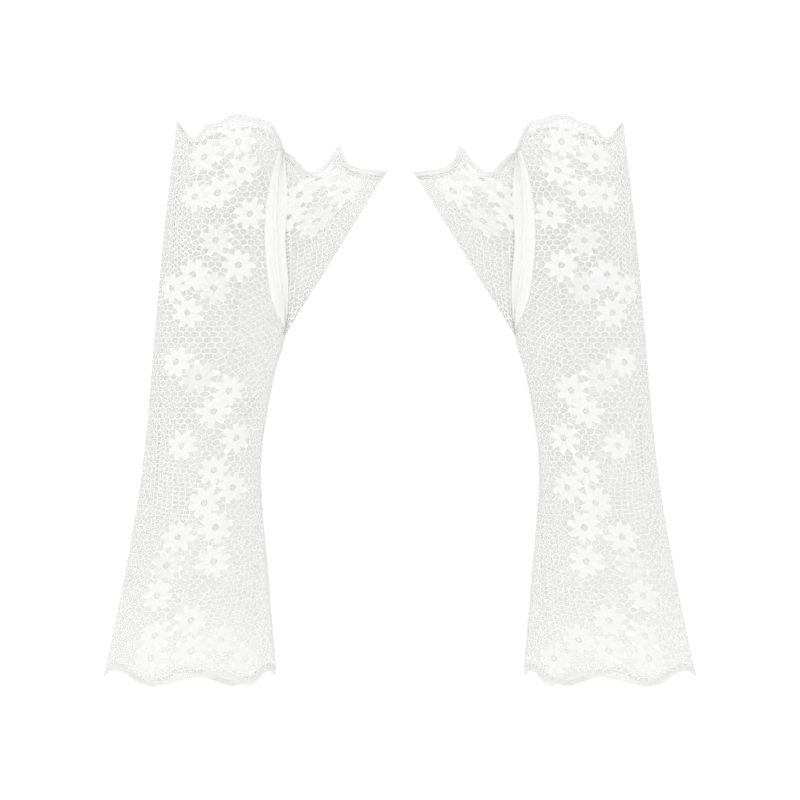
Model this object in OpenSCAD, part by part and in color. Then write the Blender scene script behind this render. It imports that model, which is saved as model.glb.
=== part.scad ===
// A pair of fingerless lace gloves in the shape they take on the arm.
// The pair is symmetric about X = 0. The right glove is drawn and the left one mirrors it.
// X is measured from the middle of the pair, -Y is the back of the hand, +Z points to the fingers.
// Every piece is a patch of one of two smooth tubes: the sleeve, and the thumb that leaves it.

/* [Sleeve] */
// Height of the highest scallop of the finger edge above the lowest scallop of the cuff
glove_length = 300; // [290:1:310]
// Width of the sleeve at the cuff
cuff_width = 92; // [86:1:98]
// Depth of the sleeve at the cuff, palm to back
cuff_depth = 70; // [60:1:78]
// Width of the sleeve halfway down the forearm
forearm_width = 76; // [72:1:80]
// Depth of the sleeve halfway down the forearm
forearm_depth = 56; // [50:1:62]
// Width of the sleeve at the wrist
wrist_width = 62; // [58:1:66]
// Depth of the sleeve at the wrist
wrist_depth = 42; // [38:1:46]
// Width of the sleeve across the root of the thumb
thumb_root_width = 68.5; // [66:0.5:71]
// Depth of the sleeve across the root of the thumb
thumb_root_depth = 37; // [34:1:40]
// Width of the sleeve across the palm, up to the thumb seam
palm_width = 62; // [59:0.5:64]
// Depth of the sleeve across the palm
palm_depth = 33; // [31:1:38]
// Width of the finger opening
finger_width = 56; // [53:1:59]
// Depth of the finger opening
finger_depth = 28; // [25:1:31]

/* [Thumb] */
// Height of the fork between the thumb and the sleeve
fork_height = 185; // [180:1:190]
// Height at which the thumb seam ends, between the thumb and the fingers
web_height = 281; // [278:1:283]
// Height of the outer point of the thumb opening
thumb_tip_height = 270; // [267:1:275]
// Depth of the thumb opening
thumb_depth = 30; // [26:1:34]
// Widest gap between the two rows of the thumb seam, where the thumb goes in
thumb_hole = 21; // [16:1:21]

/* [Pair] */
// Gap between the two thumb points
pair_gap = 15.6; // [10:0.2:30]

/* [Lace and trim] */
// Thickness of the lace
lace_t = 1; // [0.8:0.1:1.2]
// Width of the scalloped border
border_w = 3; // [2:0.5:4]
// Thickness of the scalloped border
border_t = 1.8; // [1.6:0.1:2.2]
// Width of each row of the thumb seam
thumb_seam_w = 8; // [5:0.5:9]
// How far the thumb seam stands out of the lace
thumb_seam_t = 1.6; // [1:0.1:2]
// Width of the side seam
side_seam_w = 4; // [3:0.5:5]
// How far the side seam stands out of the lace
side_seam_t = 0.7; // [0.5:0.1:1]
// Depth of the deepest valley between the scallops of the finger opening
finger_scallop = 12; // [8:0.5:13]
// Depth of the deepest notch between the scallops of the cuff
cuff_scallop = 9.5; // [6:0.5:10]
// Height of the highest scallop of the thumb opening above its outer point
thumb_scallop = 12; // [8:0.5:13]

/* [Hidden] */

lace_white = [0.96, 0.96, 0.95];
cord_white = [0.98, 0.98, 0.97];
thread_white = [1, 1, 1];

thumb_tip_x = pair_gap / 2;
// Gap between each lace edge and the middle of a closed seam
seam_gap = 0.4;
// Room left between the thumb gusset and the sleeve that it is sewn to
sewing_room = 0.5;
// How far a border or seam reaches into the lace that it is sewn to
sewn_in = 0.5;
// The lace ends this far below the outer edge of the border at the fingers and the thumb
net_end = border_w - sewn_in;
// The gusset starts this far above the fork, where it is wide enough to be a tube
gusset_rise = 3;
// The side seam ends this far below the fork
seam_end = 2;
// A seam stands out this much less at its edges than along its middle
seam_edge = 0.6;
// Depth of the thumb at the fork, and how quickly it swells above it (1 is a straight cone)
fork_depth = 9;
thumb_swell = 0.6;
// At the fork the thumb reaches this far past the sleeve's thumb side
fork_overhang = 0.8;

// Heights of the places where the sleeve is measured
forearm_height = 55;
wrist_height = 115;
palm_height = 240;
// Distance of the sleeve's thumb side from the middle of the pair at those places
cuff_x = 65;
forearm_x = 69.5;
wrist_x = 73.5;
fork_x = 60.5;
palm_x = 62;
finger_x = 61;

// The sleeve's two sides, as [height, distance from the middle of the pair]
thumb_side = [
    [0, cuff_x], [forearm_height, forearm_x], [wrist_height, wrist_x], [160, 67.3],
    [fork_height, fork_x], [208, 60], [palm_height, palm_x], [glove_length, finger_x]
];
outer_side = [
    [0, cuff_x + cuff_width], [forearm_height, forearm_x + forearm_width],
    [wrist_height, wrist_x + wrist_width], [fork_height, fork_x + thumb_root_width],
    [palm_height, palm_x + palm_width], [glove_length, finger_x + finger_width]
];
// [height, depth] of the sleeve
depths = [
    [0, cuff_depth], [forearm_height, forearm_depth], [wrist_height, wrist_depth],
    [fork_height, thumb_root_depth], [palm_height, palm_depth], [glove_length, finger_depth]
];

// Shapes of the three scalloped openings. Angles go round each tube from the thumb seam, over
// the back of the hand first. Values are shares of the scallop height.
// Finger opening: how far the edge lies below its highest crest
finger_dips = [
    [14, 1.25], [25, 0.8], [37, 0.4], [59, 0.17], [84, 0], [101, 0.35], [116, 0.5], [127, 1], [146, 0.8],
    [161, 0.57], [180, 0.27], [205, 0.5], [232, 1.1], [250, 0.8], [290, 0.45], [335, 0.9]
];
// Cuff: how far the edge lies above its lowest crest
cuff_rises = [
    [0, 0.83], [25, 1.05], [44, 0.33], [64, 0.88], [76, 0.87], [90, 0.75], [113, 0.33],
    [133, 0.9], [154, 1.1], [180, 0.74], [210, 1], [240, 0], [266, 0.7], [300, 0], [334, 1],
    [360, 0.83]
];
// Thumb opening: how far the edge lies above its outer point
thumb_rises = [
    [30, 0.7], [48, 0.02], [62, 0.05], [75, 0.45], [87, 1.05], [96, 0.45], [106, 0.2],
    [124, 0.08], [180, 0], [236, -0.1], [262, 0.3], [272, 0.85], [285, 0.3], [298, -0.2],
    [330, 0.6]
];

// Smooth curve through a list of [place, value], straight beyond its ends
function span(p, x, i = 0) = i >= len(p) - 2 || x < p[i + 1][0] ? i : span(p, x, i + 1);
function slope(p, i) =
    let (a = max(i - 1, 0), b = min(i + 1, len(p) - 1))
    (p[b][1] - p[a][1]) / (p[b][0] - p[a][0]);
function hermite(t, h, a, b, slope_a, slope_b) =
    (2 * t ^ 3 - 3 * t ^ 2 + 1) * a + (t ^ 3 - 2 * t ^ 2 + t) * h * slope_a
    + (3 * t ^ 2 - 2 * t ^ 3) * b + (t ^ 3 - t ^ 2) * h * slope_b;
function curve(p, x) =
    let (
        i = span(p, x),
        h = p[i + 1][0] - p[i][0],
        t = (x - p[i][0]) / h
    )
    t < 0 ? p[0][1] + (x - p[0][0]) * slope(p, 0)
    : t > 1 ? p[i + 1][1] + (x - p[i + 1][0]) * slope(p, i + 1)
    : hermite(t, h, p[i][1], p[i + 1][1], slope(p, i), slope(p, i + 1));

// Half of the gap between the two rows of the thumb seam: closed at the fork and at the web
function half_gap(z) =
    let (t = (z - fork_height) / (web_height - fork_height))
    seam_gap + (t > 0 && t < 1 ? (thumb_hole / 2 - seam_gap) * sin(180 * t) : 0);

// Place on the sleeve: angle round it from the thumb side, height, and depth under its surface
function sleeve_angle(z) = asin(half_gap(z) / (curve(depths, z) / 2));
function sleeve_half(z) =
    (curve(outer_side, z) - curve(thumb_side, z)) / (1 + cos(sleeve_angle(z)));
function sleeve_at(angle, z, under = 0) =
    let (
        open = sleeve_angle(z),
        turn = open + (360 - 2 * open) * angle / 360,
        half = sleeve_half(z),
        middle = curve(outer_side, z) - half
    )
    [
        middle - (half - under) * cos(turn),
        -(curve(depths, z) / 2 - under) * sin(turn),
        z
    ];

// Place on the thumb, which starts at the seam, goes round the thumb and comes back to the seam
function thumb_half_depth(z) =
    let (t = max(0, (z - fork_height) / (thumb_tip_height - fork_height)))
    (fork_depth + (thumb_depth - fork_depth) * t ^ thumb_swell) / 2;
function thumb_outer(z) =
    let (t = (z - fork_height) / (thumb_tip_height - fork_height))
    fork_x - fork_overhang + (thumb_tip_x - fork_x) * t;
function thumb_at(angle, z, under = 0) =
    let (
        deep = thumb_half_depth(z),
        open = asin(half_gap(z) / deep),
        seam_x = curve(thumb_side, z) - sewing_room,
        half = (seam_x - thumb_outer(z)) / (1 + cos(open)),
        turn = open + (360 - 2 * open) * angle / 360
    )
    [
        thumb_outer(z) + half + (half - under) * cos(turn),
        -(deep - under) * sin(turn),
        z
    ];

// Height of each scalloped edge at an angle round its tube
web_dip = (glove_length - web_height) / finger_scallop;
web_rise = (web_height - thumb_tip_height) / thumb_scallop;
finger_shape = [[0, web_dip], each finger_dips, [360, web_dip]];
thumb_shape = [[0, web_rise], each thumb_rises, [360, web_rise]];
function finger_z(angle) = glove_length - finger_scallop * curve(finger_shape, angle);
function cuff_z(angle) = cuff_scallop * curve(cuff_rises, angle);
function thumb_z(angle) = thumb_tip_height + thumb_scallop * curve(thumb_shape, angle);

// A closed skin from two grids of points, the outer and the inner face of one piece of cloth
module cloth(outer, inner) {
    rows = len(outer);
    columns = len(outer[0]);
    count = rows * columns;
    all = concat([for (row = outer, p = row) p], [for (row = inner, p = row) p]);
    function at(r, c) = r * columns + c;
    faces = concat(
        [for (r = [0:rows - 2], c = [0:columns - 2]) [at(r, c), at(r, c + 1), at(r + 1, c + 1)]],
        [for (r = [0:rows - 2], c = [0:columns - 2]) [at(r, c), at(r + 1, c + 1), at(r + 1, c)]],
        [
            for (r = [0:rows - 2], c = [0:columns - 2])
                [count + at(r, c), count + at(r + 1, c + 1), count + at(r, c + 1)]
        ],
        [
            for (r = [0:rows - 2], c = [0:columns - 2])
                [count + at(r, c), count + at(r + 1, c), count + at(r + 1, c + 1)]
        ],
        [for (c = [0:columns - 2]) each rim(at(0, c + 1), at(0, c), count)],
        [for (c = [0:columns - 2]) each rim(at(rows - 1, c), at(rows - 1, c + 1), count)],
        [for (r = [0:rows - 2]) each rim(at(r, 0), at(r + 1, 0), count)],
        [for (r = [0:rows - 2]) each rim(at(r + 1, columns - 1), at(r, columns - 1), count)]
    );
    polyhedron(all, faces);
}
function rim(a, b, count) = [[a, b, count + b], [a, count + b, count + a]];

function steps(n) = [for (i = [0:n]) i / n];

// A ring round the whole sleeve or thumb between two heights that change with the angle
module sleeve_ring(rows, low, high, thick) {
    angles = [for (s = steps(44)) 360 * s];
    function row(v, under) = [for (g = angles) sleeve_at(g, low(g) + v * (high(g) - low(g)), under)];
    cloth([for (v = steps(rows)) row(v, 0)], [for (v = steps(rows)) row(v, thick)]);
}
module thumb_ring(rows, low, high, thick) {
    angles = [for (s = steps(28)) 360 * s];
    function row(v, under) = [for (g = angles) thumb_at(g, low(g) + v * (high(g) - low(g)), under)];
    cloth([for (v = steps(rows)) row(v, 0)], [for (v = steps(rows)) row(v, thick)]);
}

module sleeve() {
    color(lace_white)
        sleeve_ring(15, function (g) cuff_z(g), function (g) finger_z(g) - net_end, lace_t);
}

module cuff_edge() {
    color(cord_white)
        sleeve_ring(
            1, function (g) cuff_z(g) - border_w + sewn_in, function (g) cuff_z(g) + sewn_in,
            border_t
        );
}

module finger_edge() {
    color(cord_white)
        sleeve_ring(
            1, function (g) finger_z(g) - border_w, function (g) finger_z(g), border_t
        );
}

module thumb_gusset() {
    color(lace_white)
        thumb_ring(
            9, function (g) fork_height + gusset_rise, function (g) thumb_z(g) - net_end, lace_t
        );
}

module thumb_edge() {
    color(cord_white)
        thumb_ring(
            1, function (g) thumb_z(g) - border_w, function (g) thumb_z(g), border_t
        );
}

// The band of gathered lace and thread along one edge of the sleeve's thumb hole
module seam_row(front) {
    heights = [for (s = steps(16)) fork_height + (web_height - fork_height) * s];
    function across(z) = 360 / (PI * (sleeve_half(z) + curve(depths, z) / 2));
    function place(z, w, under) = sleeve_at(front ? w * across(z) : 360 - w * across(z), z, under);
    widths = [sewing_room, thumb_seam_w / 2, thumb_seam_w];
    proud = [0, thumb_seam_t, seam_edge * thumb_seam_t];
    columns = front ? [0, 1, 2] : [2, 1, 0];
    cloth(
        [for (z = heights) [for (c = columns) place(z, widths[c], -proud[c])]],
        [for (z = heights) [for (c = columns) place(z, widths[c], sewn_in)]]
    );
}

module thumb_seam() {
    color(thread_white) {
        seam_row(true);
        seam_row(false);
    }
}

// The narrow seam that closes the sleeve from the cuff to the fork of the thumb
module side_seam() {
    heights = [for (s = steps(16)) cuff_scallop + (fork_height - seam_end - cuff_scallop) * s];
    across = side_seam_w / 2 * [1, 0, -1];
    proud = side_seam_t * [seam_edge, 1, seam_edge];
    function place(z, c, under) = [sleeve_at(0, z, under)[0], -across[c], z];
    color(thread_white)
        cloth(
            [for (z = heights) [for (c = [0:2]) place(z, c, -proud[c])]],
            [for (z = heights) [for (c = [0:2]) place(z, c, lace_t + sewn_in)]]
        );
}

module left() {
    mirror([1, 0, 0])
        children();
}

left() sleeve();  // left_sleeve
left() side_seam();  // left_side_seam
left() thumb_seam();  // left_thumb_seam
left() finger_edge();  // left_finger_edge
left() cuff_edge();  // left_cuff_edge
left() thumb_gusset();  // left_thumb_gusset
left() thumb_edge();  // left_thumb_edge
sleeve();  // right_sleeve
side_seam();  // right_side_seam
thumb_seam();  // right_thumb_seam
finger_edge();  // right_finger_edge
cuff_edge();  // right_cuff_edge
thumb_gusset();  // right_thumb_gusset
thumb_edge();  // right_thumb_edge
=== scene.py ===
"""A pair of fingerless wedding gloves in white stretch lace.

Each glove is an open-work net on the sleeve and on the thumb gusset, with raised flowers and
leaf-like fans in it, a corded border on each scalloped opening, a ruffled seam round the thumb
and an overlocked side seam. Lengths are in millimetres until a mesh is made.
"""

import math

import bpy
import numpy as np
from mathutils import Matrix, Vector
from mathutils.geometry import delaunay_2d_cdt


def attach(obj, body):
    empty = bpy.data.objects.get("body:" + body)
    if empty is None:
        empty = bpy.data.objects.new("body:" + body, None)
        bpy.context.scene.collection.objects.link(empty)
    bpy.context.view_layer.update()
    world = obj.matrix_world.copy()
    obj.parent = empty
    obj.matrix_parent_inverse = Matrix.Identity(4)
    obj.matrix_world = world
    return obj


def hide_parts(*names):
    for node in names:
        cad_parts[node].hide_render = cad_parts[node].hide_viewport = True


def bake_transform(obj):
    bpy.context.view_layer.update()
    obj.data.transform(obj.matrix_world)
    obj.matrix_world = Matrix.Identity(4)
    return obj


MM = 0.001
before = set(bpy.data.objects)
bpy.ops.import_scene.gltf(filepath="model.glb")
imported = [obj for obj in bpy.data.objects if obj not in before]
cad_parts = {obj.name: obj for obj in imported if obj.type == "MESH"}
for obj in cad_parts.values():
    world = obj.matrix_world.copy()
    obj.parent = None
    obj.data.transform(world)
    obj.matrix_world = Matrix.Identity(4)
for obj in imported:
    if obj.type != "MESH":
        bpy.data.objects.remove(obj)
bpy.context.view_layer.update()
dice = np.random.default_rng(7)

# ---------------------------------------------------------------- the two tubes of cloth
GLOVE, FORK, WEB, TIP = 300.0, 185.0, 281.0, 270.0  # heights: whole, thumb's fork, web, thumb tip
FINGER_SCALLOP, CUFF_SCALLOP, THUMB_SCALLOP = 12.0, 9.5, 12.0  # how deep a scallop of 1 is
TIP_X, FORK_X = 7.8, 60.5  # distance from the middle of the pair
# Outlines and depths by height; scallops by angle round the opening
THUMB_SIDE = [
    (0, 65), (55, 69.5), (115, 73.5), (160, 67.3), (FORK, FORK_X), (208, 60), (240, 62), (GLOVE, 61),
]
OUTER_SIDE = [(0, 157), (55, 145.5), (115, 135.5), (FORK, 129), (240, 124), (GLOVE, 117)]
DEPTHS = [(0, 70), (55, 56), (115, 42), (FORK, 37), (240, 33), (GLOVE, 28)]
FINGER_DIPS = [
    (14, 1.25), (25, 0.8), (37, 0.4), (59, 0.17), (84, 0), (101, 0.35), (116, 0.5), (127, 1),
    (146, 0.8), (161, 0.57), (180, 0.27), (205, 0.5), (232, 1.1), (250, 0.8), (290, 0.45), (335, 0.9),
]
CUFF_RISES = [
    (0, 0.83), (25, 1.05), (44, 0.33), (64, 0.88), (76, 0.87), (90, 0.75), (113, 0.33),
    (133, 0.9), (154, 1.1), (180, 0.74), (210, 1), (240, 0), (266, 0.7), (300, 0), (334, 1), (360, 0.83),
]
THUMB_RISES = [
    (30, 0.7), (48, 0.02), (62, 0.05), (75, 0.45), (87, 1.05), (96, 0.45), (106, 0.2), (124, 0.08),
    (180, 0), (236, -0.1), (262, 0.3), (272, 0.85), (285, 0.3), (298, -0.2), (330, 0.6),
]
BORDER, CUFF_BORDER = 2.5, 2.3  # how far each border reaches past the lace


def curve(points, x):
    """Smooth curve through a list of (place, value), straight beyond its ends."""
    px, py = np.array(points, float).T
    x = np.asarray(x, float)
    n = len(px)
    before, after = np.maximum(np.arange(n) - 1, 0), np.minimum(np.arange(n) + 1, n - 1)
    slope = (py[after] - py[before]) / (px[after] - px[before])
    i = np.clip(np.searchsorted(px, x, side="right") - 1, 0, n - 2)
    h = px[i + 1] - px[i]
    t = (x - px[i]) / h
    y = (2 * t**3 - 3 * t**2 + 1) * py[i] + (t**3 - 2 * t**2 + t) * h * slope[i]
    y = y + (3 * t**2 - 2 * t**3) * py[i + 1] + (t**3 - t**2) * h * slope[i + 1]
    y = np.where(t < 0, py[0] + (x - px[0]) * slope[0], y)
    return np.where(t > 1, py[-1] + (x - px[-1]) * slope[-1], y)


def closed(shape, value):
    """The points of a scalloped line, with one value for both its ends, at the seam."""
    return [(0, value), *shape, (360, value)]


FINGER_SHAPE = closed(FINGER_DIPS, (GLOVE - WEB) / FINGER_SCALLOP)
THUMB_SHAPE = closed(THUMB_RISES, (WEB - TIP) / THUMB_SCALLOP)


def finger_z(u):
    return GLOVE - FINGER_SCALLOP * curve(FINGER_SHAPE, u)


def cuff_z(u):
    return CUFF_SCALLOP * curve(CUFF_RISES, u)


def thumb_z(u):
    return TIP + THUMB_SCALLOP * curve(THUMB_SHAPE, u)


def half_gap(z):
    """Half the width of the open seam, where the thumb is sewn in, at a height."""
    t = (np.asarray(z, float) - FORK) / (WEB - FORK)
    return 0.4 + np.where((t > 0) & (t < 1), 10.1 * np.sin(np.pi * np.clip(t, 0, 1)), 0)


def sleeve_shape(z):
    """Half width, middle, half depth and the angle where the open seam starts, at a height."""
    deep = curve(DEPTHS, z) / 2
    start = np.arcsin(half_gap(z) / deep)
    half = (curve(OUTER_SIDE, z) - curve(THUMB_SIDE, z)) / (1 + np.cos(start))
    return half, curve(OUTER_SIDE, z) - half, deep, start


def sleeve_at(u, z, out=0.0):
    half, middle, deep, start = sleeve_shape(z)
    turn = start + (2 * np.pi - 2 * start) * u / 360
    return np.stack(
        [middle - (half + out) * np.cos(turn), -(deep + out) * np.sin(turn), z + 0 * turn], -1
    )


def thumb_shape(z):
    t = (np.asarray(z, float) - FORK) / (TIP - FORK)
    deep = 4.5 + 10.5 * np.maximum(t, 0) ** 0.6
    start = np.arcsin(half_gap(z) / deep)
    outer = FORK_X - 0.8 + (TIP_X - FORK_X) * t
    half = (curve(THUMB_SIDE, z) - 0.1 - outer) / (1 + np.cos(start))
    return half, outer + half, deep, start


def thumb_at(u, z, out=0.0):
    half, middle, deep, start = thumb_shape(z)
    turn = start + (2 * np.pi - 2 * start) * u / 360
    return np.stack(
        [middle + (half + out) * np.cos(turn), -(deep + out) * np.sin(turn), z + 0 * turn], -1
    )


EYE, EYE_Z = 2500.0, 150.0  # distance of the viewer from the middle of the pair, and height


def seen_at(at, shape, sign, d, z):
    """Angle and height of the point on the near side that is seen at distance d and height z."""
    x, height = d, z
    for _ in range(5):
        half, middle, _, start = shape(height)
        turn = math.acos(min(1, max(-1, sign * (middle - x) / half)))
        u = 360 * (turn - start) / (2 * math.pi - 2 * start)
        near = 1 + float(at(u, height)[1]) / EYE
        x, height = d * near, EYE_Z + (z - EYE_Z) * near
    return float(u), float(height)


# ---------------------------------------------------------------- the flat pattern of the lace
class Panel:
    """One piece of lace laid flat: p goes round the tube and z along it."""

    def __init__(self, at, width, low, high):
        self.at, self.width, self.low, self.high = at, width, low, high

    def angle(self, p, z):
        return 360 * (p / self.width(z) + 0.5)

    def flat(self, u, z):
        return (u / 360 - 0.5) * self.width(z)

    def place(self, p, z, out=0.0):
        return self.at(self.angle(p, z), z, out)

    def stretch(self, p, z):
        """How much longer the worn lace is than the flat lace, round the tube."""
        step = 0.5
        a, b = self.place(p - step, z), self.place(p + step, z)
        return float(np.linalg.norm(b - a)) / (2 * step)

    def inside(self, p, z, margin=0.0):
        u = np.clip(self.angle(p, z), 0, 360)
        return (
            (np.abs(p) < self.width(z) / 2 - margin)
            & (z > self.low(u) + margin)
            & (z < self.high(u) - margin)
        )

    def outline(self):
        """The panel's edge as flat points, anticlockwise."""
        u = np.linspace(0, 360, 721)
        low, high = self.low(u), self.high(u)
        rise = np.linspace(0, 1, 200)[1:-1]
        right = low[-1] + rise * (high[-1] - low[-1])
        left = high[0] + rise * (low[0] - high[0])
        return np.concatenate(
            [
                np.stack([self.flat(u, low), low], -1),
                np.stack([self.width(right) / 2, right], -1),
                np.stack([self.flat(u, high), high], -1)[::-1],
                np.stack([-self.width(left) / 2, left], -1),
            ]
        )


SLEEVE_FLAT = [(0, 196), (55, 174), (115, 154), (FORK, 142), (240, 134), (GLOVE, 132)]
sleeve = Panel(
    sleeve_at, lambda z: curve(SLEEVE_FLAT, z), cuff_z, lambda u: finger_z(u) - BORDER
)

GUSSET_FOOT = FORK - 0.5
heights = np.linspace(FORK - 12, 300, 120)
turns = np.linspace(0, 360, 73)
rounds = [
    np.linalg.norm(np.diff(thumb_at(turns, np.full(73, max(h, GUSSET_FOOT))), axis=0), axis=1).sum()
    for h in heights
]
gusset = Panel(
    thumb_at, lambda z: np.interp(z, heights, rounds), lambda u: GUSSET_FOOT + 0 * u,
    lambda u: thumb_z(u) - BORDER,
)

# A cell of the net is open, solid, or spanned by a thin sheet. On the palm side every open cell is
# closed by such a sheet: painted shade, a grey that stands for the glove's inside seen through the holes
OUTSIDE, HOLE, SOLID, FILM = 0, 1, 2, 3
GROUND_THREAD, FAN_THREAD, FLOWER_THREAD = 0.47, 0.44, 0.36  # from a cell's outline to its hole


class Sites:
    """Centres of the cells of the net, kept a least distance apart."""

    def __init__(self, palm_painted_shade=True):
        self.points, self.kinds, self.threads, self.grid, self.palm_painted_shade = [], [], [], {}, palm_painted_shade

    def add(self, p, z, kind, apart, thread=GROUND_THREAD):
        key = (int(p // 4), int(z // 4))
        for i in (-1, 0, 1):
            for j in (-1, 0, 1):
                for k in self.grid.get((key[0] + i, key[1] + j), ()):
                    q = self.points[k]
                    if (q[0] - p) ** 2 + (q[1] - z) ** 2 < apart * apart:
                        return False
        self.grid.setdefault(key, []).append(len(self.points))
        self.points.append((p, z))
        # on the palm side a hole becomes a sheet of painted shade
        self.kinds.append(FILM if kind == HOLE and p > 0 and self.palm_painted_shade else kind)
        self.threads.append(thread)
        return True


def along(line, step):
    """Points and directions at even steps along a flat line."""
    line = np.asarray(line, float)
    run = np.concatenate([[0], np.cumsum(np.linalg.norm(np.diff(line, axis=0), axis=1))])
    count = max(2, int(round(run[-1] / step)))
    s = np.linspace(0, run[-1], count + 1)
    points = np.stack([np.interp(s, run, line[:, k]) for k in (0, 1)], -1)
    ahead = np.stack([np.interp(s + 0.3, run, line[:, k]) for k in (0, 1)], -1)
    behind = np.stack([np.interp(s - 0.3, run, line[:, k]) for k in (0, 1)], -1)
    direction = ahead - behind
    return points, direction / np.maximum(np.linalg.norm(direction, axis=1), 1e-9)[:, None]


def edge_sites(sites, panel, kind=HOLE, step=2.5, inset=1.15):
    """Pairs of sites on both sides of the panel's edge, so that the cells end on it."""
    points, direction = along(panel.outline(), step)
    inward = np.stack([-direction[:, 1], direction[:, 0]], -1)
    for point, normal in zip(points[:-1], inward[:-1]):
        q = point + inset * normal
        if panel.inside(q[0], q[1]) and sites.add(q[0], q[1], kind, 1.6):
            o = point - inset * normal
            sites.add(o[0], o[1], OUTSIDE, 0.8)


def flower_sites(sites, panel, flowers):
    """Under each flower: an open eye, two solid rings for its petals and holes between the tips."""
    for p, z, size, tilt, _ in flowers:
        squeeze = panel.stretch(p, z)
        rings = [(0, 1, 0, HOLE, 0.5), (3.9, 8, 0, SOLID, 0.3), (6.5, 8, 0, SOLID, 0.3)]
        rings.append((7.6, 8, 0.5, HOLE, FLOWER_THREAD))
        for radius, count, half, kind, thread in rings:
            for k in range(count):
                a = tilt + 2 * math.pi * (k + half) / count
                q = p + size * radius * math.cos(a) / squeeze, z + size * radius * math.sin(a)
                if panel.inside(*q, margin=0.9):
                    sites.add(*q, kind, 1.4, thread)


ROW_STEP = 0.45


def fan_rows(fan):
    """The rows of one leaf-like fan: lines that leave its vein steeply and then flatten."""
    vein, first, last, pitch, reach = fan
    starts, _ = along(vein, pitch)
    for k, start in enumerate(starts):
        t = k / max(1, len(starts) - 1)
        length = reach * (0.55 + 0.45 * math.sin(math.pi * min(1, 0.2 + 0.8 * t)))
        q, row, run = np.array(start), [np.array(start)], 0.0
        while run < length:
            now = math.radians(last + (first - last) * math.exp(-run / 7))
            q = q + ROW_STEP * np.array([math.cos(now), math.sin(now)])
            run += ROW_STEP
            row.append(q.copy())
        yield np.array(row)


def fan_sites(sites, panel, fans):
    for fan in fans:
        for row in fan_rows(fan):
            points, _ = along(row, 2.6)
            for point in (points[:-1] + points[1:]) / 2:
                q = point + dice.normal(0, 0.03, 2)
                if panel.inside(*q, margin=1.3):
                    sites.add(*q, HOLE, 1.5, FAN_THREAD)


def ground_sites(sites, panel, z0, z1, reach, across, rise, thread=lambda z: GROUND_THREAD):
    """Staggered rows of cells wherever no flower or fan is."""
    z, row = z0, 0
    while z < z1:
        for p in np.arange(-reach, reach, across) + (row % 2) * across / 2:
            q = np.array([p, z]) + dice.normal(0, 0.1, 2)
            if panel.inside(*q, margin=1.25):
                sites.add(*q, HOLE, 2.2, thread(z))
            elif not panel.inside(*q, margin=-1.6):
                sites.add(*q, OUTSIDE, 1.6)
        z += float(rise(z))
        row += 1


LACE_T = 0.24  # thickness of the lace
FILM_UP, FILM_DOWN = -0.09, -0.15  # the two faces of the film in a spanned cell
# 0 is the lace; 1 is painted shade on the palm's inner faces; 2 is painted shade on the sheets that
# close the palm's holes
THREADS, PAINTED_SHADE_INSIDE, PAINTED_SHADE_FILM = 0, 1, 2  # the material of each face of a net


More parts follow.
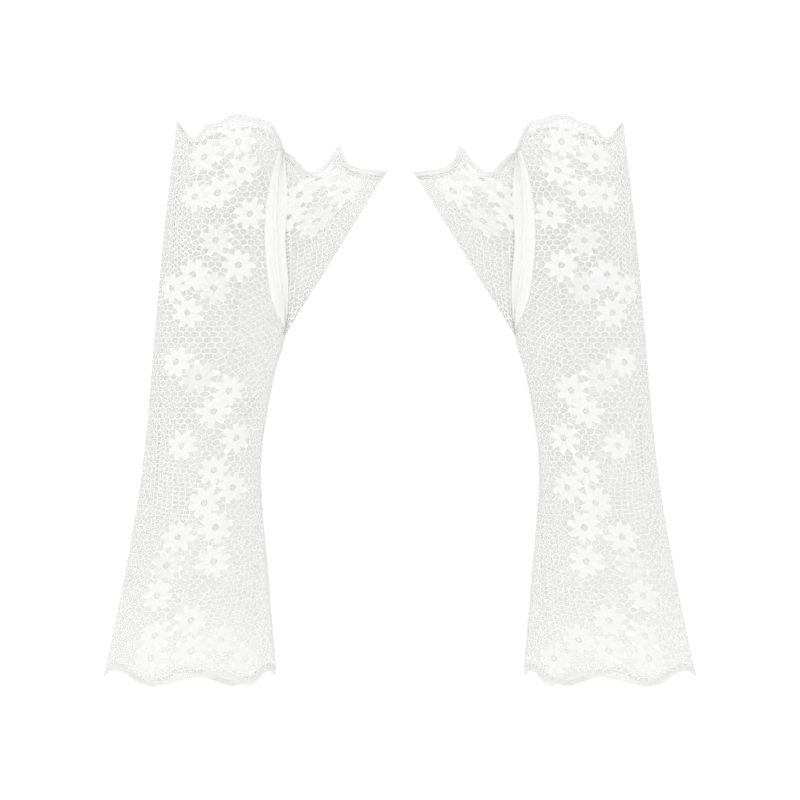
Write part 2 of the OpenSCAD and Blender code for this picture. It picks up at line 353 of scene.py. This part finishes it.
def net_mesh(panel, sites, keep):
    """A net: each cell's threads, as two-sided ridges along the cell's outline, round a hole."""
    palm_painted_shade = sites.palm_painted_shade
    tris = delaunay_2d_cdt([Vector(p) for p in sites.points], [], [], 0, 1e-6)[2]
    xy = np.array(sites.points)
    tri = np.array([list(t) for t in tris])
    a, b, c = xy[tri[:, 0]], xy[tri[:, 1]], xy[tri[:, 2]]
    turn = (b[:, 0] - a[:, 0]) * (c[:, 1] - a[:, 1]) - (b[:, 1] - a[:, 1]) * (c[:, 0] - a[:, 0])
    tri[turn < 0] = tri[turn < 0][:, ::-1]
    tri = tri[np.abs(turn) > 1e-6]
    a, b, c = xy[tri[:, 0]], xy[tri[:, 1]], xy[tri[:, 2]]
    d = a[:, 0] * (b[:, 1] - c[:, 1]) + b[:, 0] * (c[:, 1] - a[:, 1]) + c[:, 0] * (a[:, 1] - b[:, 1])
    d = 2 * d
    aa, bb, cc = (a**2).sum(1), (b**2).sum(1), (c**2).sum(1)
    centre = np.stack(
        [
            (aa * (b[:, 1] - c[:, 1]) + bb * (c[:, 1] - a[:, 1]) + cc * (a[:, 1] - b[:, 1])) / d,
            (aa * (c[:, 0] - b[:, 0]) + bb * (a[:, 0] - c[:, 0]) + cc * (b[:, 0] - a[:, 0])) / d,
        ],
        -1,
    )
    fans = {}
    for t, (i, j, k) in enumerate(tri.tolist()):
        for u, v, w in ((i, j, k), (j, k, i), (k, i, j)):
            fans.setdefault(u, {})[v] = (w, t)

    flat, out, faces, shades, crest = [], [], [], [], {}

    def vertex(point, height):
        flat.append(point)
        out.append(height)
        return len(flat) - 1

    def ridge(key, point):
        if key not in crest:
            crest[key] = (vertex(point, 0.0), vertex(point, -LACE_T))
        return crest[key]

    for i, fan in fans.items():
        if sites.kinds[i] == OUTSIDE or not keep(*sites.points[i]):
            continue
        first = next(iter(fan))
        loop, at = [], first
        while at in fan:
            nxt, t = fan[at]
            loop.append((t, nxt))
            at = nxt
            if at == first:
                break
        if at != first or len(loop) < 3:
            continue
        site, thread, kind = xy[i], sites.threads[i], sites.kinds[i]
        points, keys, shrink, open_edge = [], [], [], []
        for n, (t, neighbour) in enumerate(loop):
            corner, after = centre[t], centre[loop[(n + 1) % len(loop)][0]]
            reach = np.linalg.norm(xy[neighbour] - site) / 2
            points += [corner, (corner + after) / 2]
            keys += [("c", t), ("m", min(i, neighbour), max(i, neighbour))]
            shrink += [0.0, max(0.22, 1 - thread / reach)]
            ends = sites.kinds[neighbour] == OUTSIDE or not keep(*sites.points[neighbour])
            open_edge += [ends] * 2
        count = len(points)
        for n in range(0, count, 2):
            shrink[n] = 0.93 * (shrink[n - 1] + shrink[(n + 1) % count]) / 2
        ridges = [ridge(key, point) for key, point in zip(keys, points)]
        if kind == SOLID:
            top, bottom = vertex(site, 0.04), vertex(site, -LACE_T)
        elif kind == HOLE:
            ring = [vertex(site + (q - site) * s, -LACE_T / 2) for q, s in zip(points, shrink)]
        else:
            # a sheet across the cell; on the palm its outer face is painted shade in grey, its inner
            # face the painted shade of the inside
            texture_and_shade_film = [vertex(site, FILM_UP), vertex(site, FILM_DOWN)]
            ups = [vertex(site + (q - site) * s, FILM_UP) for q, s in zip(points[::2], shrink[::2])]
            downs = [vertex(flat[k], FILM_DOWN) for k in ups]
        for n in range(count):
            m = (n + 1) % count
            (t0, b0), (t1, b1) = ridges[n], ridges[m]
            if kind == SOLID:
                faces += [(t0, t1, top), (b1, b0, bottom)]
                # inner faces of palm cells take the painted shade of the glove's inside
                shades += [THREADS, PAINTED_SHADE_INSIDE if palm_painted_shade and site[0] > 0 else THREADS]
            elif kind == HOLE:
                faces += [(t0, t1, ring[m], ring[n]), (b1, b0, ring[n], ring[m])]
                shades += [THREADS, THREADS]
            elif n % 2:
                k = (n // 2 + 1) % len(ups)
                faces += [(t0, t1, ups[k]), (b1, b0, downs[k])]
                shades += [THREADS, PAINTED_SHADE_INSIDE]
            else:
                k, after = n // 2, (n // 2 + 1) % len(ups)
                faces += [(t0, t1, ups[k]), (t1, ups[after], ups[k]), (ups[k], ups[after], texture_and_shade_film[0])]
                faces += [(b1, b0, downs[k]), (downs[after], b1, downs[k])]
                faces.append((downs[after], downs[k], texture_and_shade_film[1]))
                shades += [THREADS, THREADS, PAINTED_SHADE_FILM, PAINTED_SHADE_INSIDE, PAINTED_SHADE_INSIDE, PAINTED_SHADE_INSIDE]
            if open_edge[n]:
                faces.append((t1, t0, b0, b1))
                shades.append(THREADS)
    flat, out = np.array(flat), np.array(out)
    return panel.place(flat[:, 0], flat[:, 1], out), faces, shades


# ---------------------------------------------------------------- raised work
# The palm's flowers take a copy of the stitch painted lighter and more see-through: painted light that
# hides the dark patches they would make behind the holes
BRIGHT_PETAL, SOFT_PETAL, PALM_PETAL_PAINTED_LIGHT = 0, 1, 2  # the material of each flower


def petals(panel, p, z, size, tilt, rise):
    """One flower's eight petals, each a plump pad of satin stitches with a round end."""
    squeeze = panel.stretch(p, z)
    verts, faces = [], []
    lengths, widths = np.linspace(0, 1, 9) ** 0.9, np.linspace(-1, 1, 5)
    for k in range(8):
        a = tilt + 2 * math.pi * k / 8
        base = len(verts)
        long = size * (6.4 + 0.5 * math.sin(5 * tilt + 2.4 * k))
        for s in lengths:
            radius = size * 1.75 + long * s
            spread = min(0.4 * radius, size * 2.05)
            spread *= math.sqrt(max(0.0, 1 - max(0.0, (s - 0.66) / 0.35) ** 2))
            for w in widths:
                x = radius * math.cos(a) - spread * w * math.sin(a)
                y = radius * math.sin(a) + spread * w * math.cos(a)
                swell = (1 - w * w) * math.sin(math.pi * min(1, 0.12 + 0.83 * s)) ** 0.5
                verts.append((p + x / squeeze, z + y, -0.06 + rise * swell))
        for i in range(len(lengths) - 1):
            for j in range(len(widths) - 1):
                q = base + i * len(widths) + j
                faces.append((q, q + len(widths), q + len(widths) + 1, q + 1))
    return np.array(verts), faces


def flower_mesh(panel, flowers):
    """All the flowers of a panel, cut off at its edge: bright and soft flowers differ in shade; palm
    flowers get painted light, lighter and more see-through than the same flowers on the back.
    """
    verts, faces, shades = [], [], []
    for p, z, size, tilt, bright in flowers:
        v, f = petals(panel, p, z, size, tilt, 0.34 if bright else 0.22)
        kept = [face for face in f if all(panel.inside(v[i][0], v[i][1], 0.2) for i in face)]
        used = sorted({i for face in kept for i in face})
        number = {old: len(verts) + new for new, old in enumerate(used)}
        verts += [v[i] for i in used]
        faces += [tuple(number[i] for i in face) for face in kept]
        # palm flowers: painted light
        shades += [PALM_PETAL_PAINTED_LIGHT if p > 0 else BRIGHT_PETAL if bright else SOFT_PETAL] * len(kept)
    verts = np.array(verts)
    return panel.place(verts[:, 0], verts[:, 1], verts[:, 2]), faces, shades


def tube(points, normals, radius, sides):
    """A round thread along points, closed at its ends; normals point out of the cloth."""
    points, normals = np.asarray(points, float), np.asarray(normals, float)
    tangent = np.gradient(points, axis=0)
    tangent /= np.maximum(np.linalg.norm(tangent, axis=1), 1e-9)[:, None]
    across = np.cross(tangent, normals)
    across /= np.maximum(np.linalg.norm(across, axis=1), 1e-9)[:, None]
    up = np.cross(across, tangent)
    radius = np.broadcast_to(radius, len(points))[:, None]
    rings = []
    for k in range(sides):
        a = 2 * math.pi * k / sides
        rings.append(points + radius * (math.cos(a) * up + math.sin(a) * across))
    verts = np.stack(rings, 1).reshape(-1, 3)
    faces = []
    for i in range(len(points) - 1):
        for k in range(sides):
            a, b = i * sides + k, i * sides + (k + 1) % sides
            faces.append((a, b, b + sides, a + sides))
    last = (len(points) - 1) * sides
    faces.append(tuple(range(sides))[::-1])
    faces.append(tuple(last + k for k in range(sides)))
    return verts, faces


class Bundle:
    """Several small meshes gathered into one."""

    def __init__(self):
        self.verts, self.faces, self.count = [], [], 0

    def add(self, part):
        verts, faces = part
        self.verts.append(verts)
        self.faces += [tuple(i + self.count for i in face) for face in faces]
        self.count += len(verts)

    def mesh(self):
        return np.concatenate(self.verts), self.faces


def thread_on(at, u, z, out, radius, sides):
    """A thread that lies on the cloth, at a height over its outer face."""
    base, above = at(u, z, out), at(u, z, out + 1.0)
    return tube(base, above - base, radius, sides)


# The cords of a border: distance from its outer line, below 0 towards the lace, and radius
CORDS = [(-2.45, 0.38), (-1.4, 0.34), (-0.5, 0.32)]
# The bars and lashes between: from, to, every how many steps, slant in steps, and radius
BARS = [(-2.45, -1.4, 2, 0, 0.26), (-1.4, -0.5, 2, 1, 0.24), (-0.5, 0.7, 2, 2, 0.12)]
BORDER_STEP = 0.55


def border_mesh(at, edge, side):
    """Cords, the small bars between them, and the fringe of lashes along a scalloped opening."""
    u = np.linspace(0.6, 359.4, 2400)
    z = edge(u)
    points = at(u, z)
    run = np.concatenate([[0], np.cumsum(np.linalg.norm(np.diff(points, axis=0), axis=1))])
    s = np.arange(0, run[-1], BORDER_STEP)
    u = np.interp(s, run, u)
    z = edge(u)
    level = at(u, np.full_like(u, float(z.mean())))
    arc = np.gradient(np.concatenate([[0], np.cumsum(np.linalg.norm(np.diff(level, axis=0), axis=1))]))
    du, dz = np.gradient(u), np.gradient(z)
    size = np.hypot(arc, dz)
    to_u, to_z = -side * dz / size * du / arc, side * arc / size
    kernel = np.ones(5) / 5
    to_u, to_z = (np.convolve(np.pad(x, 2, mode="edge"), kernel, "valid") for x in (to_u, to_z))

    def row(offset):
        return u + to_u * offset, z + to_z * offset

    bundle = Bundle()
    twist = 0.05 * np.sin(s * 2 * np.pi / 1.1)
    for offset, radius in CORDS:
        bundle.add(thread_on(at, *row(offset), -LACE_T / 2 + twist, radius, 7))
    for a, b, pitch, slant, radius in BARS:
        (u0, z0), (u1, z1) = row(a), row(b)
        for i in range(2, len(u) - slant - 2, pitch):
            j = i + slant
            t = np.linspace(0, 1, 4)
            bundle.add(
                thread_on(
                    at, u0[i] + t * (u1[j] - u0[i]), z0[i] + t * (z1[j] - z0[i]),
                    -LACE_T / 2 + 0 * t, radius, 4,
                )
            )
    return bundle.mesh()


# The gathered band by height: how far it reaches over the sleeve, and how far over the thumb
SEAM_WIDTH = [(185, 2.5), (190, 6.5), (197, 11), (208, 12.4), (232, 11.5), (257, 10.6), (281, 8.5)]
SEAM_LAP = [(185, 0.8), (191, 2.0), (208, 2.6), (232, 2.2), (257, 4.6), (281, 4)]
BRIDGE = 3.6  # the band spans the valley this far over the sleeve


def band_at(front):
    """The gathered band's cloth: w mm from the seam, over the sleeve or, below 0, over the thumb."""

    def at(w, z, out=0.0):
        half, _, deep, _ = sleeve_shape(z)
        t_half, _, t_deep, _ = thumb_shape(z)
        width = curve(SEAM_WIDTH, z)
        lap = curve(SEAM_LAP, z)
        share = np.clip((w + lap) / (width + lap), 0, 1)
        drift = 1.1 * np.sin(z / 9.0 + (0.4 if front else 2.0)) + 0.6 * np.sin(z / 3.7 + 1.0)
        fold = 0.5 + 0.5 * np.cos(2 * np.pi * w / 2.5 + drift)
        lift = out + 0.1 + np.sin(np.pi * share) ** 0.5 * (0.35 + 0.6 * fold)
        reach = BRIDGE * np.clip((z - FORK) / 10, 0.1, 1)
        s = np.clip((w + lap) / (reach + lap), 0, 1)[..., None]
        thumb_turn = 360 / (np.pi * (t_half + t_deep)) * np.maximum(-w, lap)
        sleeve_turn = 360 / (np.pi * (half + deep)) * np.maximum(w, reach)
        if not front:
            thumb_turn, sleeve_turn = 360 - thumb_turn, 360 - sleeve_turn
        return (1 - s) * thumb_at(thumb_turn, z, lift) + s * sleeve_at(sleeve_turn, z, lift)

    return at


class Band(Panel):
    """A strip laid flat, whose p is the distance from the seam."""

    def angle(self, p, z):
        return p

    def flat(self, u, z):
        return u

    def inside(self, p, z, margin=0.0):
        wide = curve(SEAM_WIDTH, z)
        lap = curve(SEAM_LAP, z)
        return (p > margin - lap) & (p < wide - margin) & (z > FORK + margin) & (z < WEB - margin)

    def outline(self):
        z = np.linspace(FORK, WEB, 200)
        wide = curve(SEAM_WIDTH, z)
        lap = curve(SEAM_LAP, z)
        foot = np.linspace(-lap[0], wide[0], 10)[:-1]
        head = np.linspace(wide[-1], -lap[-1], 10)[1:-1]
        return np.concatenate(
            [
                np.stack([foot, FORK + 0 * foot], -1),
                np.stack([wide, z], -1),
                np.stack([head, WEB + 0 * head], -1),
                np.stack([-lap, z], -1)[::-1],
            ]
        )


def thumb_seam_mesh():
    """The gathered band round the thumb's opening: small dense cells in lengthwise folds."""
    bundle = Bundle()
    for front in (True, False):
        band = Band(band_at(front), None, None, None)
        sites = Sites(palm_painted_shade=False)
        edge_sites(sites, band, SOLID, 1.6, 0.75)
        z, row = FORK - 4, 0
        while z < WEB + 4:
            for w in np.arange(-5, 15, 1.75) + (row % 2) * 0.87:
                q = np.array([w, z]) + dice.normal(0, 0.12, 2)
                if band.inside(*q, margin=0.8):
                    sites.add(*q, FILM if dice.random() < 0.4 else SOLID, 1.15, 0.5)
                elif not band.inside(*q, margin=-1.0):
                    sites.add(*q, OUTSIDE, 1.0)
            z += 1.9
            row += 1
        verts, faces, _ = net_mesh(band, sites, lambda p, z: True)
        bundle.add((verts, faces if front else [face[::-1] for face in faces]))
    return bundle.mesh()


def side_seam_mesh():
    """The overlocked seam that closes the sleeve below the thumb."""
    bundle = Bundle()
    z = np.linspace(CUFF_SCALLOP - 1, FORK - 1, 240)

    def at(w, z, out):
        return np.stack([curve(THUMB_SIDE, z) - out + 0.02 * w * w, -w + 0 * z, z + 0 * w], -1)

    for w in (-1.5, -0.5, 0.5, 1.5):
        line = at(w + 0.12 * np.sin(z * 2.1 + w), z, 0.1)
        bundle.add(tube(line, np.tile([-1.0, 0, 0], (len(z), 1)), 0.55, 6))
    for k, height in enumerate(np.arange(CUFF_SCALLOP, FORK - 2, 1.3)):
        t = np.linspace(-1, 1, 6)
        line = at(2.0 * t, height + 0.65 * t * (1 if k % 2 else -1), 0.62 - 0.25 * t * t)
        bundle.add(tube(line, np.tile([-1.0, 0, 0], (6, 1)), 0.16, 4))
    return bundle.mesh()


def vein_mesh(panel, fans):
    """A thread along each fan's vein."""
    bundle = Bundle()
    for fan in fans:
        points, _ = along(fan[0], 0.9)
        points = np.array([q for q in points if panel.inside(*q, margin=0.6)])
        if len(points) > 3:
            u = panel.angle(points[:, 0], points[:, 1])
            order = np.arange(len(u))
            ends = np.minimum(1, np.minimum(order, order[::-1]) / 3 + 0.4)
            bundle.add(thread_on(panel.at, u, points[:, 1], -0.08 + 0 * u, 0.26 * ends, 5))
    return bundle.mesh()


# ---------------------------------------------------------------- where the flowers and fans are
# Each flower on the back of the hand: distance from the middle of the pair, height, bright or not
SLEEVE_FLOWERS = [
    (85, 286, 1), (103, 278, 1), (83, 271, 1), (108, 257, 1), (96, 259, 1), (79, 248, 1),
    (90, 247, 1), (97, 234, 0), (85, 221, 1), (109, 216, 1), (98, 209, 0), (112, 196, 1),
    (120, 209, 1), (118, 170, 1), (106, 162, 0), (90, 155, 1), (98, 144, 1), (86, 130, 1),
    (115, 126, 1), (98, 113, 1), (88, 104, 1), (103, 96, 1), (97, 83, 1), (117, 78, 1),
    (98, 65, 1), (123, 63, 0), (128, 47, 1), (110, 34, 1), (129, 26, 1), (94, 24, 1),
    (110, 18, 1), (131, 14, 1), (81, 14, 1),
]
THUMB_FLOWERS = [(44, 244, 0), (28, 260, 1), (43, 267, 1), (53, 258, 1), (59, 246, 1)]


def placed(panel, at, shape, sign, flowers, palm_shift):
    """Flowers on the back of the hand, and the same ones on the palm, moved along."""
    found = []

    def put(p, z, bright, size):
        apart = [math.hypot((p - q[0]) * 1.05, z - q[1]) for q in found]
        if not apart or min(apart) > 9.5:
            found.append((p, z, size, float(dice.uniform(0, math.pi / 4)), bright))

    seen = []
    for d, z, bright in flowers:
        u, height = seen_at(at, shape, sign, d, z)
        seen.append((float(panel.flat(u, height)), height, bright))
        put(*seen[-1], float(dice.uniform(0.93, 1.03)))
    for p, z, bright in seen:
        put(-p, z + palm_shift, bright, float(dice.uniform(0.93, 1.03)))
    return found


def vein_at(panel, at, shape, sign, line):
    """A vein on the flat panel, from its places as seen from the front."""
    flat = []
    for d, z in line:
        u, height = seen_at(at, shape, sign, d, z)
        flat.append((float(panel.flat(u, height)), height))
    return flat


# Each fan: its vein, the direction its rows start in and end in (degrees, 0 is away from the thumb
# side), the rows' pitch and their length
SLEEVE_FANS = [
    ([(94, 158), (90, 174), (84, 189), (82, 212)], 143, 156, 3.4, 21),
    ([(133, 84), (131, 104), (129, 134)], 220, 181, 2.35, 27),
    ([(81, 26), (76.5, 45), (75.5, 68)], -40, -3, 2.35, 26),
    ([(121.5, 214), (120.5, 240), (118, 268)], 228, 218, 2.8, 19),
]
THUMB_FANS = [([(58.5, 197), (57.5, 218), (57, 236)], 50, 36, 3.0, 24)]


def fans_on(panel, at, shape, sign, fans, palm_shift):
    """The fans on the back of the hand, and the same ones on the palm, moved along."""
    found = []
    for line, first, last, *rest in fans:
        flat = vein_at(panel, at, shape, sign, line)
        found.append((flat, first, last, *rest))
        moved = [(-p, z + palm_shift) for p, z in flat]
        found.append((moved, 180 - first, 180 - last, *rest))
    return found


# ---------------------------------------------------------------- materials
def fabric(name, colour, roughness, sheen, bump, scale, through):
    """White thread that lets a share of the light through, with a fine uneven twist."""
    mat = bpy.data.materials.new(name)
    mat.use_nodes = True
    nodes, links = mat.node_tree.nodes, mat.node_tree.links
    shader = nodes["Principled BSDF"]
    shader.inputs["Roughness"].default_value = roughness
    shader.inputs["Sheen Weight"].default_value = sheen
    shader.inputs["Sheen Roughness"].default_value = 0.5
    lit_through = nodes.new("ShaderNodeBsdfTranslucent")
    blend = nodes.new("ShaderNodeMixShader")
    blend.inputs["Fac"].default_value = through
    place = nodes.new("ShaderNodeTexCoord")
    noise = nodes.new("ShaderNodeTexNoise")
    noise.inputs["Scale"].default_value = scale
    noise.inputs["Detail"].default_value = 3.0
    tint = nodes.new("ShaderNodeMapRange")
    tint.inputs["To Min"].default_value = 0.98
    tint.inputs["To Max"].default_value = 1.0
    mix = nodes.new("ShaderNodeMix")
    mix.data_type = "RGBA"
    mix.blend_type = "MULTIPLY"
    mix.inputs["Factor"].default_value = 1.0
    mix.inputs["A"].default_value = (*colour, 1)
    relief = nodes.new("ShaderNodeBump")
    relief.inputs["Strength"].default_value = bump
    relief.inputs["Distance"].default_value = 0.0002
    links.new(place.outputs["Object"], noise.inputs["Vector"])
    links.new(noise.outputs["Fac"], tint.inputs["Value"])
    links.new(tint.outputs["Result"], mix.inputs["B"])
    links.new(mix.outputs["Result"], shader.inputs["Base Color"])
    links.new(noise.outputs["Fac"], relief.inputs["Height"])
    links.new(relief.outputs["Normal"], shader.inputs["Normal"])
    links.new(mix.outputs["Result"], lit_through.inputs["Color"])
    links.new(shader.outputs["BSDF"], blend.inputs[1])
    links.new(lit_through.outputs["BSDF"], blend.inputs[2])
    links.new(blend.outputs["Shader"], nodes["Material Output"].inputs["Surface"])
    return mat


LACE = fabric("lace", (0.985, 0.985, 0.982), 0.8, 0.25, 0.35, 2600, 0.38)
NET = [
    LACE,
    # painted shade: the palm lace's inner faces, a shade darker and more see-through than the lace, set
    # to how grey the glove's inside reads through the holes
    fabric("palm_lace_inside_painted_shade", (0.96, 0.96, 0.957), 0.8, 0.25, 0.35, 2600, 0.61),
    # painted shade: a grey for the sheets that close the palm's holes, standing for the shade seen
    # through them
    fabric("texture_and_shade_film", (0.905, 0.905, 0.902), 0.8, 0.25, 0.35, 2600, 0.61),
]
PETALS = [
    fabric("petal_stitch", (0.895, 0.895, 0.892), 0.6, 0.3, 0.4, 2600, 0.2),
    fabric("soft_petal_stitch", (0.875, 0.875, 0.872), 0.7, 0.25, 0.4, 2600, 0.25),
    # painted light: the palm's flowers, lighter and more see-through than the same stitch on the back
    fabric("palm_petal_stitch_painted_light", (0.98, 0.98, 0.977), 0.7, 0.25, 0.4, 2600, 0.75),
]
CORD = fabric("border_cord", (0.87, 0.87, 0.867), 0.7, 0.25, 0.3, 2200, 0.1)
THREAD = fabric("seam_thread", (0.935, 0.935, 0.932), 0.6, 0.3, 0.3, 2200, 0.2)


# ---------------------------------------------------------------- the pieces
def build(name, mesh, materials, flip):
    """A mesh in metres, from one in millimetres, with a material for each shade."""
    verts, faces, *shades = mesh
    data = bpy.data.meshes.new(name)
    if flip:
        faces = [tuple(reversed(face)) for face in faces]
    data.from_pydata((verts * MM).tolist(), [], faces)
    data.shade_smooth()
    for material in materials:
        data.materials.append(material)
    if shades:
        data.polygons.foreach_set("material_index", shades[0])
    obj = bpy.data.objects.new(name, data)
    bpy.context.scene.collection.objects.link(obj)
    return obj


SLEEVE_SHIFT, THUMB_SHIFT = 17.0, -7.0  # how far the palm's flowers are moved along
sleeve_flowers = placed(sleeve, sleeve_at, sleeve_shape, 1, SLEEVE_FLOWERS, SLEEVE_SHIFT)
gusset_flowers = placed(gusset, thumb_at, thumb_shape, -1, THUMB_FLOWERS, THUMB_SHIFT)
sleeve_fans = fans_on(sleeve, sleeve_at, sleeve_shape, 1, SLEEVE_FANS, SLEEVE_SHIFT)
gusset_fans = fans_on(gusset, thumb_at, thumb_shape, -1, THUMB_FANS, -3.0)


def gusset_thread(z):
    """Closer work at the foot of the gusset."""
    return GROUND_THREAD + 0.45 * max(0, min(1, (212 - z) / 10))


sites = Sites()
edge_sites(sites, sleeve)
flower_sites(sites, sleeve, sleeve_flowers)
fan_sites(sites, sleeve, sleeve_fans)
rise = [(0, 2.35), (60, 2.5), (110, 2.8), (GLOVE, 2.8)]
ground_sites(sites, sleeve, -14, GLOVE + 14, 112, 3.25, lambda z: curve(rise, z))
back_net = net_mesh(sleeve, sites, lambda p, z: p < 0)
palm_net = net_mesh(sleeve, sites, lambda p, z: p >= 0)

sites = Sites()
edge_sites(sites, gusset)
flower_sites(sites, gusset, gusset_flowers)
fan_sites(sites, gusset, gusset_fans)
ground_sites(sites, gusset, FORK - 10, 300, 75, 3.2, lambda z: 2.75, gusset_thread)
thumb_net = net_mesh(gusset, sites, lambda p, z: True)

sleeve_petals = flower_mesh(sleeve, sleeve_flowers)
thumb_petals = flower_mesh(gusset, gusset_flowers)
sleeve_veins = vein_mesh(sleeve, sleeve_fans)
thumb_veins = vein_mesh(gusset, gusset_fans)
finger_border = border_mesh(sleeve_at, finger_z, 1)
cuff_border = border_mesh(sleeve_at, lambda u: cuff_z(u) - CUFF_BORDER, -1)
thumb_border = border_mesh(thumb_at, thumb_z, 1)
thumb_seam = thumb_seam_mesh()
side_seam = side_seam_mesh()

MIRROR = np.array([-1.0, 1.0, 1.0])
for hand, sign in (("right", 1), ("left", -1)):

    def piece(name, mesh, material, inward=False, nodes=(), thumb=False):
        verts, *rest = mesh
        flip = inward != (sign < 0)
        obj = build(f"{hand}_{name}", (verts * (MIRROR if sign < 0 else 1), *rest), material, flip)
        if thumb:
            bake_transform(obj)
        else:
            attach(obj, f"{hand}_glove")
        if nodes:
            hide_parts(*[f"{hand}_{n}" for n in nodes])
        return obj

    back = piece("back_lace", back_net, NET, nodes=["sleeve"])
    palm = piece("palm_lace", palm_net, NET, nodes=["sleeve"])
    flowers = piece("sleeve_flowers", sleeve_petals, PETALS)
    veins = piece("sleeve_veins", sleeve_veins, [LACE])
    thumb = piece("thumb_lace", thumb_net, NET, True, ["thumb_gusset"], True)
    thumb_flowers = piece("thumb_flowers", thumb_petals, PETALS, True, thumb=True)
    thumb_vein = piece("thumb_veins", thumb_veins, [LACE], thumb=True)
    finger = piece("finger_border", finger_border, [CORD], nodes=["finger_edge"])
    cuff = piece("cuff_border", cuff_border, [CORD], nodes=["cuff_edge"])
    mouth = piece(
        "thumb_border", thumb_border, [CORD], nodes=["thumb_edge"], thumb=True
    )
    ruffle = piece("thumb_seam_band", thumb_seam, [THREAD], nodes=["thumb_seam"])
    closing = piece("side_seam_thread", side_seam, [THREAD], nodes=["side_seam"])

# ---------------------------------------------------------------- studio
FLOOR = -0.065  # metres
floor_mat = bpy.data.materials.new("floor")
floor_mat.use_nodes = True
paint = floor_mat.node_tree.nodes["Principled BSDF"].inputs
paint["Base Color"].default_value = (0.95, 0.95, 0.95, 1)
paint["Roughness"].default_value = 0.9
paint["Emission Color"].default_value = (1, 1, 1, 1)
paint["Emission Strength"].default_value = 0.12
ground = bpy.data.meshes.new("floor")
ground.from_pydata([(-6, -6, FLOOR), (6, -6, FLOOR), (6, 6, FLOOR), (-6, 6, FLOOR)], [], [(0, 1, 2, 3)])
ground.materials.append(floor_mat)
floor = bpy.data.objects.new("floor", ground)
bpy.context.scene.collection.objects.link(floor)

world = bpy.data.worlds.new("studio")
bpy.context.scene.world = world
world.use_nodes = True
sky = world.node_tree.nodes["Background"].inputs
sky["Color"].default_value = (1, 1, 1, 1)
sky["Strength"].default_value = 1.11


def softbox(name, place, target, size, power):
    light = bpy.data.lights.new(name, "AREA")
    light.shape = "DISK"
    light.size = size
    light.energy = power
    lamp = bpy.data.objects.new(name, light)
    lamp.location = place
    lamp.rotation_euler = (Vector(target) - Vector(place)).to_track_quat("-Z", "Y").to_euler()
    bpy.context.scene.collection.objects.link(lamp)


softbox("key", (-0.7, -2.0, 0.9), (0, 0, 0.15), 1.2, 3.5)

SENSOR = 36
HALF_VIEW = 0.2105  # metres: half the width that the picture shows, at the pair
camera = bpy.data.cameras.new("camera")
camera.lens = SENSOR / 2 / (HALF_VIEW / (EYE * MM))
camera.sensor_width = SENSOR
eye = bpy.data.objects.new("camera", camera)
eye.location = (0, -EYE * MM, EYE_Z * MM)
eye.rotation_euler = (math.radians(90), 0, 0)
bpy.context.scene.collection.objects.link(eye)
bpy.context.scene.camera = eye
bpy.context.scene.view_settings.view_transform = "Standard"
bpy.context.scene.view_settings.look = "None"
